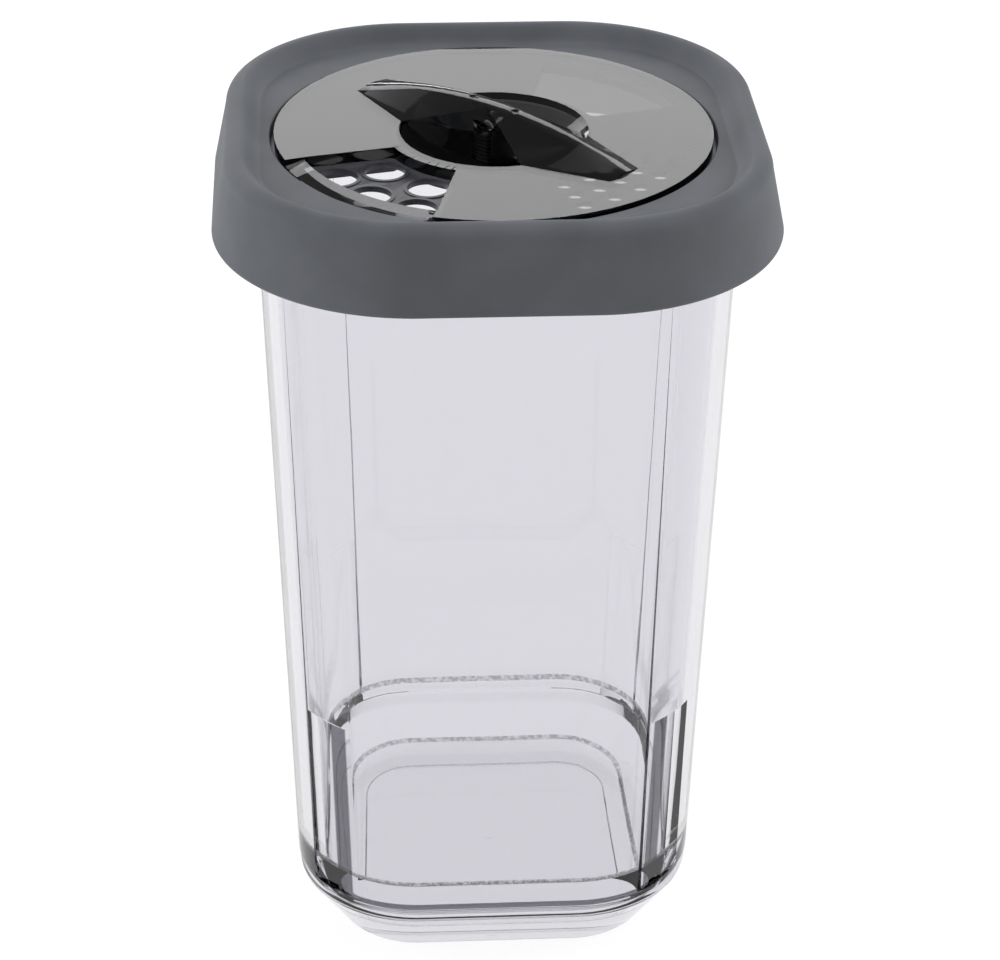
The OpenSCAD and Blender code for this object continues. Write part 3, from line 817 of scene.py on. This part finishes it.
class SHAKER_OT_lid_cover(Operator):
    """Model the soft cover with its raised rim, flat panel and flared skirt"""
    bl_idname = "shaker.lid_cover"
    bl_label = "Lid cover"

    def execute(self, context):
        lid = context.scene.shaker_lid
        rim_out = CORE_HIGH.x + lid.cover_t
        rim_in = rim_out - lid.rim_w
        panel_top = COVER_HIGH.z - lid.rim_rise
        slope = lid.rim_w - lid.rim_round
        hole_r = DIAL_HIGH.x + lid.dial_gap
        skirt = arc((COVER_HIGH.x - lid.skirt_round, COVER_LOW.z + lid.skirt_round), lid.skirt_round,
                    -pi / 2, 0, 10)
        shoulder = arc((rim_out - lid.rim_round, COVER_HIGH.z - lid.rim_round), lid.rim_round, 0, pi / 2, 14)
        falls = [i / FALL_STEPS for i in range(1, FALL_STEPS + 1)]
        fall = [(rim_in + slope * (1 - t), panel_top + lid.rim_rise * (1 + cos(pi * t)) / 2) for t in falls]
        bm = swept([(rim_in, lid.plate_top), (CORE_HIGH.x, lid.plate_top), (CORE_HIGH.x, lid.wrap_z),
                    (lid.core_in, lid.wrap_z), (lid.core_in, COVER_LOW.z), *skirt, *shoulder, *fall],
                   side_steps=12)
        top_rim, low_rim = rim_at(bm, panel_top), rim_at(bm, lid.plate_top)
        ring = bmesh.ops.extrude_edge_only(bm, edges=top_rim)["geom"]
        for vert in verts_of(ring):
            vert.co.xy = vert.co.xy.normalized() * hole_r
        wall = bmesh.ops.extrude_edge_only(bm, edges=edges_of(ring))["geom"]
        bmesh.ops.translate(bm, verts=verts_of(wall), vec=(0, 0, lid.plate_top - panel_top))
        bmesh.ops.bridge_loops(bm, edges=edges_of(wall) + low_rim)
        outward(bm)
        soften(bm, lid.panel_edge, 3)
        finish_piece("soft_cover", bm, soft_elastomer(), "lid", "lid_cover")
        return {"FINISHED"}


class SHAKER_OT_lid_core(Operator):
    """Model the hard core with its sieves, pour opening, plug, dish and hub"""
    bl_idname = "shaker.lid_core"
    bl_label = "Lid core"

    def execute(self, context):
        lid = context.scene.shaker_lid
        dial = context.scene.shaker_dial
        flat = context.scene.shaker_jar.side_flat / 2
        bm = swept([
            (flat, lid.plate_z), (lid.plug_in, lid.plate_z), (lid.plug_in, lid.plug_z),
            (lid.plug_out, lid.plug_z), (lid.plug_out, lid.plate_z), (lid.core_in, lid.plate_z),
            (lid.core_in, lid.wrap_z), (CORE_HIGH.x, lid.wrap_z), (CORE_HIGH.x, lid.plate_top),
            (flat, lid.plate_top),
        ])
        close_at(bm, lid.plate_z)
        close_at(bm, lid.plate_top)
        outward(bm)
        over, mid = lid.plate_t, lid.plate_z + lid.plate_t / 2
        low, high = lid.plate_z - over, lid.plate_top + over
        dish_ball = dial.ball + dial.bowl_wall + dial.run_gap
        dish_r = sqrt(dish_ball ** 2 - (dial.ball_z - lid.plate_top) ** 2)
        dish_base = dial.ball_z - dish_ball - lid.dish_wall
        hub_z = dish_base - lid.hub_h
        pin_r = dial.pin_d / 2 + lid.pin_fit
        dish = turned(ball_profile(dial, dish_ball + lid.dish_wall, mid), DISH_STEPS)
        hub = cylinder(pin_r + lid.hub_wall, hub_z, dish_base + lid.dish_wall / 2)
        hollow = turned(ball_profile(dial, dish_ball, high), DISH_STEPS)
        coarse, fine = self.coarse_places(lid, dial, dish_r), self.fine_places(lid, dial, dish_r)
        ring_r, ring_top = lid.coarse_d / 2 + lid.coarse_ring, lid.plate_top + lid.coarse_ring_h
        rings = [cylinder(ring_r, mid, ring_top, POST_STEPS, place) for place in coarse]
        holes = [cylinder(lid.coarse_d / 2, low, high, POST_STEPS, place) for place in coarse]
        holes += [cylinder(lid.fine_d / 2, low, high, HOLE_STEPS, place) for place in fine]
        pour = prism(window_outline(dial, dial.window_in), low, high, POUR_DIR, dial.window_round)
        thin = window_outline(dial, dish_r + lid.sieve_land)
        wells = [prism(thin, low, lid.plate_top - lid.sieve_t, way) for way in (COARSE_DIR, FINE_DIR)]
        bore = cylinder(pin_r, hub_z - over, high)
        bm = combine(bm, ("UNION", dish), ("UNION", hub), ("UNION", together(*rings)),
                     ("DIFFERENCE", hollow), ("DIFFERENCE", pour), ("DIFFERENCE", together(*wells)),
                     ("DIFFERENCE", together(*holes)), ("DIFFERENCE", bore))
        soften(bm, lid.core_edge, 2, least=CORE_TURN)
        finish_piece("sieve_core", bm, satin_polypropylene(), "lid", "lid_core")
        return {"FINISHED"}

    def coarse_places(self, lid, dial, dish_r):
        """Places of the three outer and two inner coarse holes."""
        outer_r = dial.window_out - lid.coarse_edge - lid.coarse_d / 2
        inner_r = dish_r + lid.coarse_land + lid.coarse_ring + lid.coarse_d / 2
        return (row(COARSE_DIR, outer_r, 3, lid.coarse_outer_step)
                + row(COARSE_DIR, inner_r, 2, lid.coarse_inner_step))

    def fine_places(self, lid, dial, dish_r):
        """Places of the fine holes, in four rows."""
        counts = [3, 4, 5, 5]
        inner_r = dish_r + lid.fine_d
        outer_r = dial.window_out - lid.fine_edge
        places = []
        for i, count in enumerate(counts):
            part = i / (len(counts) - 1)
            radius = inner_r + (outer_r - inner_r) * part
            span = lid.fine_inner_span + (lid.fine_outer_span - lid.fine_inner_span) * part
            places += row(FINE_DIR, radius, count, span / (count - 1))
        return places


def row(direction, radius, count, step):
    """Places on a circle, a step apart, centred on a direction."""
    turns = [direction + (i - (count - 1) / 2) * step for i in range(count)]
    return [(radius * cos(t), radius * sin(t)) for t in turns]


class SHAKER_OT_mouth_seal(Operator):
    """Model the silicone ring with its two lips"""
    bl_idname = "shaker.mouth_seal"
    bl_label = "Mouth seal"

    def execute(self, context):
        lid = context.scene.shaker_lid
        seal_in = lid.plug_in - lid.seal_wall
        lip = (SEAL_HIGH.z - SEAL_LOW.z) / 4
        neck = (lid.plug_out + SEAL_HIGH.x) / 2
        bm = swept([
            (seal_in, SEAL_LOW.z), (lid.plug_out, SEAL_LOW.z), (SEAL_HIGH.x, SEAL_LOW.z + lip),
            (neck, SEAL_LOW.z + 2 * lip), (SEAL_HIGH.x, SEAL_LOW.z + 3 * lip), (lid.plug_out, SEAL_HIGH.z),
            (lid.plug_out, lid.plug_z), (lid.plug_in, lid.plug_z), (lid.plug_in, SEAL_HIGH.z),
            (seal_in, SEAL_HIGH.z),
        ], closed=True)
        outward(bm)
        soften(bm, lid.seal_round, 3)
        finish_piece("lip_seal", bm, silicone_rubber(), "lid", "mouth_seal")
        return {"FINISHED"}


class SHAKER_OT_dial(Operator):
    """Model the smoky dial: disc with one window, finger bowl, grip blade and the pin's socket"""
    bl_idname = "shaker.dial"
    bl_label = "Dial"

    def execute(self, context):
        dial = context.scene.shaker_dial
        top, over, radius = dial.top, dial.dial_t, DIAL_HIGH.x
        under = top - dial.dial_t
        post_z = top - dial.bowl_depth - dial.bowl_wall / 2
        bowl = ball_profile(dial, dial.ball + dial.bowl_wall, under, 24)[:-1]
        disc = turned(bowl + [(radius, under), (radius, top), (0, top)], DISC_STEPS)
        scoop = turned(ball_profile(dial, dial.ball, DIAL_HIGH.z + over, 48), DISC_STEPS)
        post = cylinder(dial.pin_d / 2 + dial.post_wall, post_z, PIN_HIGH.z + dial.post_wall, POST_STEPS)
        window = prism(window_outline(dial, dial.window_in), under - over, top + over, COARSE_DIR,
                       dial.window_round)
        socket = cylinder(dial.pin_d / 2, DIAL_LOW.z - over, PIN_HIGH.z - dial.pin_press, POST_STEPS)
        bm = combine(disc, ("DIFFERENCE", scoop), ("UNION", self.blade(dial)), ("UNION", post),
                     ("DIFFERENCE", window), ("DIFFERENCE", self.band(dial)), ("DIFFERENCE", socket),
                     ("DIFFERENCE", self.dimples(dial)))
        soften(bm, dial.edge, 2, least=DIAL_TURN)
        finish_piece("smoky_dial", bm, smoky_plastic(), "dial", "dial")
        return {"FINISHED"}

    def band(self, dial):
        """Sloping cut that lowers the dial's band outside the window."""
        over = dial.dial_t
        inner_z = dial.top - dial.band_drop
        outer_z = inner_z - dial.band_fall * (dial.window_band + over) / dial.window_band
        far, high = DIAL_HIGH.x + over, dial.top + over
        ring = turned([(dial.window_in, inner_z), (dial.window_out, inner_z), (far, outer_z), (far, high),
                       (dial.window_in, high)], DISC_STEPS, closed=True)
        return combine(ring, ("INTERSECT", prism(wedge_outline(dial), dial.top - 2 * over, high + over,
                                                 COARSE_DIR)))

    def blade(self, dial):
        """Arched blade that widens from its ridge down to its plan, and reaches into the bowl's wall."""
        low = dial.top - dial.bowl_depth - dial.bowl_wall
        keep = cylinder(DIAL_HIGH.x, dial.top - dial.dial_t / 2, DIAL_HIGH.z + dial.dial_t, DISH_STEPS)
        ball = turned(ball_profile(dial, dial.ball + dial.bowl_wall / 2, dial.top), DISH_STEPS)
        keep = combine(keep, ("UNION", ball))
        halves = [self.half_blade(dial, low, way) for way in (BLADE_DIR, BLADE_DIR + pi)]
        return combine(halves[0], ("UNION", halves[1]), ("INTERSECT", keep))

    def half_blade(self, dial, low, direction):
        """One half of the blade: thin in the middle, widest at the bowl's edge, narrow at the tip."""
        half = dial.blade_l / 2
        rise = DIAL_HIGH.z - dial.top
        bm = bmesh.new()
        for i in range(ARCH_STEPS + 1):
            t = i / ARCH_STEPS
            height = dial.top + dial.tip_rise + (rise - dial.tip_rise) * (1 - t * t)
            for across in range(-CROWN_STEPS, CROWN_STEPS + 1):
                turn = across * pi / (2 * CROWN_STEPS)
                fall = dial.ridge_crown * (1 - cos(turn))
                bm.verts.new((t * half, dial.ridge_w / 2 * sin(turn), height - fall))
        for s, width in ((0, dial.blade_t), (dial.foot_s, dial.foot_w), (half, dial.tip_w)):
            for side in (-width / 2, width / 2):
                bm.verts.new((s, side, dial.top))
                bm.verts.new((s, side, low))
        made = bmesh.ops.convex_hull(bm, input=bm.verts)
        bmesh.ops.delete(bm, geom=verts_of(made["geom_interior"]), context="VERTS")
        bmesh.ops.rotate(bm, verts=bm.verts, cent=(0, 0, 0), matrix=Matrix.Rotation(direction, 3, "Z"))
        outward(bm)
        return bm

    def dimples(self, dial):
        """Two balls that leave the dimples on the ridge."""
        radius = (dial.dimple_d ** 2 / 4 + dial.dimple_depth ** 2) / (2 * dial.dimple_depth)
        balls = []
        for side in (-1, 1):
            ball = bmesh.new()
            bmesh.ops.create_uvsphere(ball, u_segments=48, v_segments=32, radius=radius)
            along = Vector((cos(BLADE_DIR), sin(BLADE_DIR), 0)) * side * dial.dimple_pitch / 2
            bmesh.ops.translate(ball, verts=ball.verts,
                                vec=along + Vector((0, 0, DIAL_HIGH.z - dial.dimple_depth + radius)))
            balls.append(ball)
        return together(*balls)


class SHAKER_OT_pivot_pin(Operator):
    """Model the pin whose head holds the dial down"""
    bl_idname = "shaker.pivot_pin"
    bl_label = "Pivot pin"

    def execute(self, context):
        dial = context.scene.shaker_dial
        shank = dial.pin_d / 2 + dial.pin_press
        head_z, head_edge = PIN_LOW.z + dial.head_t, dial.head_t / 2
        tip = dial.post_wall / 2
        bm = turned([
            (0, PIN_LOW.z), (PIN_HIGH.x - head_edge, PIN_LOW.z), (PIN_HIGH.x, head_z - head_edge),
            (PIN_HIGH.x, head_z), (shank, head_z), (shank, PIN_HIGH.z - tip), (shank - tip, PIN_HIGH.z),
            (0, PIN_HIGH.z),
        ], POST_STEPS)
        soften(bm, dial.edge, 2)
        finish_piece("dial_pin", bm, dark_acetal(), "dial", "pivot_pin")
        return {"FINISHED"}


class SHAKER_OT_stage(Operator):
    """Set up the pale floor, the soft studio light and the camera"""
    bl_idname = "shaker.stage"
    bl_label = "Studio"

    def execute(self, context):
        scene = context.scene
        scene.view_settings.view_transform = "Standard"
        self.floor(scene)
        self.world(scene)
        for name, place, across, tall, glow, mirrored in LAMPS:
            self.softbox(scene, name, Vector(place), across, tall, glow, mirrored)
        self.camera(scene)
        return {"FINISHED"}

    def softbox(self, scene, name, place, across, tall, glow, mirrored):
        """A rectangular lamp that faces the lid, of an even glow."""
        lamp = bpy.data.lights.new(name, "AREA")
        lamp.shape = "RECTANGLE"
        lamp.size, lamp.size_y = across, tall
        lamp.energy = pi * glow * across * tall
        body = bpy.data.objects.new(name, lamp)
        body.location = place
        body.visible_glossy = mirrored
        body.visible_transmission = False
        body.rotation_euler = (Vector((0, 0, JAR_HIGH.z)) - place).to_track_quat("-Z", "Y").to_euler()
        scene.collection.objects.link(body)

    def floor(self, scene):
        """A pale floor that reads white to the eye and through clear plastic, and keeps the shadow."""
        bm = bmesh.new()
        bmesh.ops.create_grid(bm, x_segments=1, y_segments=1, size=FLOOR_HALF)
        bmesh.ops.translate(bm, verts=bm.verts, vec=(0, 0, JAR_LOW.z - FLOOR_DROP))
        mesh = bpy.data.meshes.new("floor")
        bm.to_mesh(mesh)
        bm.free()
        material, tree, shader = new_material("studio_paper_white")
        feed(tree, shader, {
            "Base Color": scene.shaker_studio.paper, "Roughness": 0.9, "Specular IOR Level": 0.0,
            "Emission Color": WHITE, "Emission Strength": self.ray_level(tree, *FLOOR_GLOW),
        })
        mesh.materials.append(material)
        floor = bpy.data.objects.new("floor", mesh)
        scene.collection.objects.link(floor)

    def ray_level(self, tree, level, rays):
        """A strength by how the light's path reaches the eye; the last kind that fits counts."""
        path = add(tree, "ShaderNodeLightPath").outputs
        for ray, strength in rays:
            level = add(tree, "ShaderNodeMapRange", {"Value": path[ray], "To Min": level,
                                                     "To Max": strength})
        return level

    def world(self, scene):
        """White to the eye, a plain soft light on the object, and dim in gloss."""
        world = bpy.data.worlds.new("studio")
        world.use_nodes = True
        scene.world = world
        tree = world.node_tree
        feed(tree, tree.nodes["Background"], {"Color": WHITE, "Strength": self.ray_level(tree, *WORLD_GLOW)})

    def camera(self, scene):
        """The photograph's view of the shaker."""
        studio = scene.shaker_studio
        a, e = studio.azimuth, studio.elevation
        back = Vector((sin(a) * cos(e), -cos(a) * cos(e), sin(e)))
        target = Vector((cos(a), sin(a), 0)) * studio.look_aside + Vector((0, 0, studio.look_z))
        data = bpy.data.cameras.new("camera")
        data.sensor_fit = "HORIZONTAL"
        data.sensor_width = studio.sensor
        data.lens = studio.lens
        data.clip_start = 10 * MM
        camera = bpy.data.objects.new("camera", data)
        camera.rotation_mode = "QUATERNION"
        camera.location = target + back * studio.distance
        camera.rotation_quaternion = (-back).to_track_quat("-Z", "Y") @ Quaternion((0, 0, 1), studio.roll)
        scene.collection.objects.link(camera)
        scene.camera = camera


PIECES = (SHAKER_OT_jar, SHAKER_OT_lid_cover, SHAKER_OT_lid_core, SHAKER_OT_mouth_seal, SHAKER_OT_dial,
          SHAKER_OT_pivot_pin, SHAKER_OT_stage)
SETTINGS = (("shaker_jar", JarSizes), ("shaker_lid", LidSizes), ("shaker_dial", DialSizes),
            ("shaker_finish", Finishes), ("shaker_studio", Studio))


class SHAKER_PT_panel(Panel):
    """Lists the shaker's pieces and settings"""
    bl_idname = "SHAKER_PT_panel"
    bl_label = "Spice shaker"
    bl_space_type = "VIEW_3D"
    bl_region_type = "UI"
    bl_category = "Shaker"

    def draw(self, context):
        for piece in PIECES:
            self.layout.operator(piece.bl_idname)
        for name, group in SETTINGS:
            box = self.layout.box()
            box.label(text=group.__doc__)
            for setting in group.__annotations__:
                box.prop(getattr(context.scene, name), setting)


CLASSES = (*[group for _, group in SETTINGS], *PIECES, SHAKER_PT_panel)


def register():
    for each in CLASSES:
        bpy.utils.register_class(each)
    for name, group in SETTINGS:
        setattr(bpy.types.Scene, name, PointerProperty(type=group))


def unregister():
    for name, _ in SETTINGS:
        delattr(bpy.types.Scene, name)
    for each in reversed(CLASSES):
        bpy.utils.unregister_class(each)


def main():
    register()
    bpy.ops.shaker.jar()
    bpy.ops.shaker.lid_cover()
    bpy.ops.shaker.lid_core()
    bpy.ops.shaker.mouth_seal()
    bpy.ops.shaker.dial()
    bpy.ops.shaker.pivot_pin()
    bpy.ops.shaker.stage()


if __name__ == "__main__":
    main()
